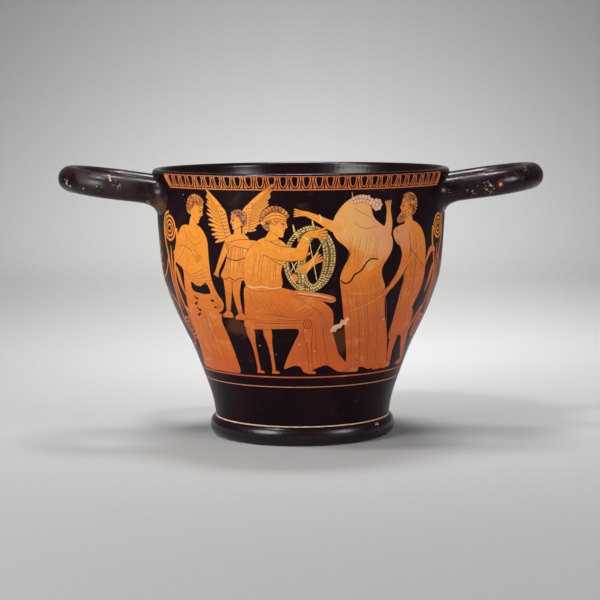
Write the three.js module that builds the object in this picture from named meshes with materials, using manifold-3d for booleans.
// A two-handled deep drinking cup (skyphos) in fired clay: a hollow turned bowl on a ring foot,
// with two horizontal loop handles. Millimetres, +Z up, origin on the axis at the resting plane.
import * as THREE from "three";
import { mergeVertices } from "three/addons/utils/BufferGeometryUtils.js";
import Module from "manifold-3d";

const wasm = await Module();
wasm.setup();

// Bowl and lip
const height = 252.6; // resting plane to the crest of the lip
const lipBandHeight = 14.8; // lower border of the lip band to the crest
const lipRadius = 140.7; // widest point of the lip
const lipCrest = 4.3; // height of the rounded crest above the widest point
const shoulderRadius = 137.3; // wall at the lower border of the lip band
const stemRadius = 82.5; // wall where it leaves the foot
const wallThickness = 6.5;
const floorThickness = 11;
const floorFillet = 16; // round between the wall and the floor, inside

// Foot
const footHeight = 17.4;
const footBulge = 5.5; // how far the foot's round edge stands out from the stem
const restingWidth = 12.5; // width of the ring that touches the table
const recessDepth = 10; // hollow under the bowl, inside the ring
const recessFillet = 5;

// Handles
const handleReach = 229.8; // axis to the outermost point of a handle
const handleSpread = 41; // centre line of an arm from the handle's middle, at the wall
const handleBow = 48; // the same at the widest part of the loop
const bowLength = 44; // from the widest part to the outermost point, along the centre line
const handleWidth = 22; // thickness across the arm, seen from above
const handleDepth = 23.6; // thickness of the arm from top to bottom
const handleDrop = 20.6; // crest of the lip to the arm's centre line at the wall
const handleRise = 12; // from there to the centre line at the outermost point
const rootFlare = 9; // how far the arm spreads, to the sides and down, where it joins the wall
const rootFlareLength = 16;

// Fineness of the facets
const turns = 64;
const wallSteps = 10;
const archSteps = 5;
const handleSteps = 44;
const sectionSides = 7; // facets around half of an arm

// Places that follow from the sizes above
const shoulderHeight = height - lipBandHeight;
const lipHeight = height - lipCrest;
const floorHeight = recessDepth + floorThickness;
const recessRadius = stemRadius - restingWidth;

// The wall's outline between foot and lip band, as shares of its rise and of its spread.
const wallShares = [
  [0, 0],
  [0.103, 0.087],
  [0.282, 0.348],
  [0.371, 0.512],
  [0.46, 0.681],
  [0.549, 0.816],
  [0.638, 0.91],
  [0.816, 0.971],
  [1, 1],
];

function outlinePoint([rise, spread]) {
  return new THREE.Vector2(
    THREE.MathUtils.lerp(stemRadius, shoulderRadius, spread),
    THREE.MathUtils.lerp(footHeight, shoulderHeight, rise),
  );
}

const wall = new THREE.SplineCurve(wallShares.map(outlinePoint));

// Points of an elliptical arc, from one angle to another, both in quarter turns.
function arch(radius, level, across, up, from, to, steps) {
  const turn = Math.PI / 2;
  const arc = new THREE.EllipseCurve(radius, level, across, up, from * turn, to * turn, to < from);
  return arc.getPoints(steps);
}

// The inner face runs parallel to the outer one, a wall's thickness away.
function insideWall(share) {
  const tangent = wall.getTangentAt(share);
  const normal = new THREE.Vector2(-tangent.y, tangent.x);
  return wall.getPointAt(share).addScaledVector(normal, wallThickness);
}

function innerWallPoints(steps) {
  const points = [];
  for (let i = steps; i >= 0; i -= 1) {
    const point = insideWall(i / steps);
    if (point.y > floorHeight + floorFillet) {
      points.push(point);
    }
  }
  return points;
}

// The closed outline of the bowl and its foot, from the axis below to the axis inside.
function bowlOutline() {
  const innerWall = innerWallPoints(wallSteps);
  const lowest = innerWall.at(-1);
  const floorEdge = new THREE.Vector2(lowest.x - floorFillet, floorHeight);
  const corner = new THREE.Vector2(insideWall(0.02).x, floorHeight);
  const floorRound = new THREE.QuadraticBezierCurve(lowest, corner, floorEdge).getPoints(archSteps);
  return [
    new THREE.Vector2(0, recessDepth),
    ...arch(recessRadius - recessFillet, 0, recessFillet, recessDepth, 1, 0, archSteps - 1),
    ...arch(stemRadius, footHeight / 2, footBulge, footHeight / 2, -1, 1, archSteps + 2),
    ...wall.getSpacedPoints(wallSteps).slice(1),
    ...arch(lipRadius - wallThickness / 2, lipHeight, wallThickness / 2, lipCrest, 0, 2, archSteps + 1),
    ...innerWall,
    ...floorRound.slice(1),
    new THREE.Vector2(0, floorHeight),
  ];
}

// A solid on the axis whose side runs through the middle of the wall. It trims the handles'
// ends, so that they are bedded in the wall and don't show inside.
function wallCore() {
  const middle = (outer) => new THREE.Vector2(outer.x - wallThickness / 2, outer.y);
  const side = wall.getSpacedPoints(wallSteps).map(middle);
  const lipMiddle = lipRadius - wallThickness / 2;
  const top = height + handleDepth;
  return [
    new THREE.Vector2(0, footHeight),
    ...side,
    new THREE.Vector2(lipMiddle, lipHeight),
    new THREE.Vector2(lipMiddle, top),
    new THREE.Vector2(0, top),
  ];
}

function turned(outline) {
  const geometry = new THREE.LatheGeometry(outline, turns);
  geometry.rotateX(Math.PI / 2);
  return geometry;
}

// The centre line of a handle on the +X side: two arms and a round bow, in one tilted plane.
const rootLevel = height - handleDrop;
const tipCentre = handleReach - handleWidth / 2;
const rootCentre = Math.sqrt(shoulderRadius ** 2 - handleSpread ** 2);
const bowCentre = tipCentre - bowLength;
const slope = handleRise / (tipCentre - rootCentre);

function onHandle(out, side) {
  return new THREE.Vector3(out, side, rootLevel + slope * (out - rootCentre));
}

function handlePath() {
  const bow = arch(bowCentre, 0, bowLength, handleBow, 1, -1, archSteps + 1);
  const midArm = (rootCentre + bowCentre) / 2;
  const midSpread = (handleSpread + handleBow) / 2;
  const start = rootCentre - 2 * wallThickness;
  return new THREE.CatmullRomCurve3([
    onHandle(start, handleSpread),
    onHandle(midArm, midSpread),
    ...bow.map((point) => onHandle(point.x, point.y)),
    onHandle(midArm, -midSpread),
    onHandle(start, -handleSpread),
  ]);
}

// How far the arm spreads at a distance from the wall: a hollow round that ends at the flare's length.
function flareAt(distance) {
  const share = THREE.MathUtils.clamp(1 - distance / rootFlareLength, 0, 1);
  return rootFlare * (1 - Math.sqrt(1 - share ** 2));
}

// Moves a point of the round unit tube to the arm's thickness, with the spread where it joins the
// wall. The spread dies out towards the arm's top, which meets the wall just under the lip.
function stretch(vertex, centre, upright) {
  const offset = vertex.clone().sub(centre);
  const lift = offset.dot(upright);
  const across = offset.addScaledVector(upright, -lift);
  const side = centre.clone().addScaledVector(across, handleWidth / 2);
  const spread = flareAt(Math.hypot(side.x, side.y) - shoulderRadius);
  const flare = spread * (1 - Math.max(lift, 0));
  return side.addScaledVector(across, flare).addScaledVector(upright, lift * (handleDepth / 2 + flare));
}

// A round unit tube along the path, whose sections are then stretched to the arm's thickness.
function handleGeometry() {
  const path = handlePath();
  const circle = new THREE.Shape().absarc(0, 0, 1, 0, 2 * Math.PI);
  const tube = new THREE.ExtrudeGeometry(circle, {
    steps: handleSteps,
    curveSegments: sectionSides,
    bevelEnabled: false,
    extrudePath: path,
  });
  const stations = path.getSpacedPoints(handleSteps);
  const upright = new THREE.Vector3(-slope, 0, 1).normalize();
  const position = tube.attributes.position;
  const vertex = new THREE.Vector3();
  for (let i = 0; i < position.count; i += 1) {
    vertex.fromBufferAttribute(position, i);
    const distances = stations.map((station) => station.distanceTo(vertex));
    const centre = stations[distances.indexOf(Math.min(...distances))];
    position.setXYZ(i, ...stretch(vertex, centre, upright));
  }
  return tube;
}

function toSolid(geometry) {
  const bare = geometry.clone();
  bare.deleteAttribute("normal");
  bare.deleteAttribute("uv");
  const merged = mergeVertices(bare, 1e-4);
  return new wasm.Manifold(
    new wasm.Mesh({
      numProp: 3,
      vertProperties: new Float32Array(merged.attributes.position.array),
      triVerts: new Uint32Array(merged.index.array),
    }),
  );
}

function toGeometry(solid) {
  const mesh = solid.getMesh();
  const geometry = new THREE.BufferGeometry();
  geometry.setAttribute("position", new THREE.BufferAttribute(mesh.vertProperties, 3));
  geometry.setIndex(new THREE.BufferAttribute(mesh.triVerts, 1));
  geometry.computeVertexNormals();
  return geometry;
}

// The vessel was fired as one, so bowl, foot and handles are one solid.
function skyphosGeometry() {
  const rightHandle = handleGeometry();
  const leftHandle = rightHandle.clone().rotateZ(Math.PI);
  const core = toSolid(turned(wallCore()));
  let vessel = toSolid(turned(bowlOutline()));
  for (const handle of [rightHandle, leftHandle]) {
    vessel = vessel.add(toSolid(handle).subtract(core));
  }
  return toGeometry(vessel);
}

const skyphos = new THREE.Mesh(
  skyphosGeometry(),
  new THREE.MeshStandardMaterial({ color: 0x2a1c20, roughness: 0.35, metalness: 0 }),
);
skyphos.name = "skyphos";

const vessel = new THREE.Group();
vessel.add(skyphos);

export default vessel;
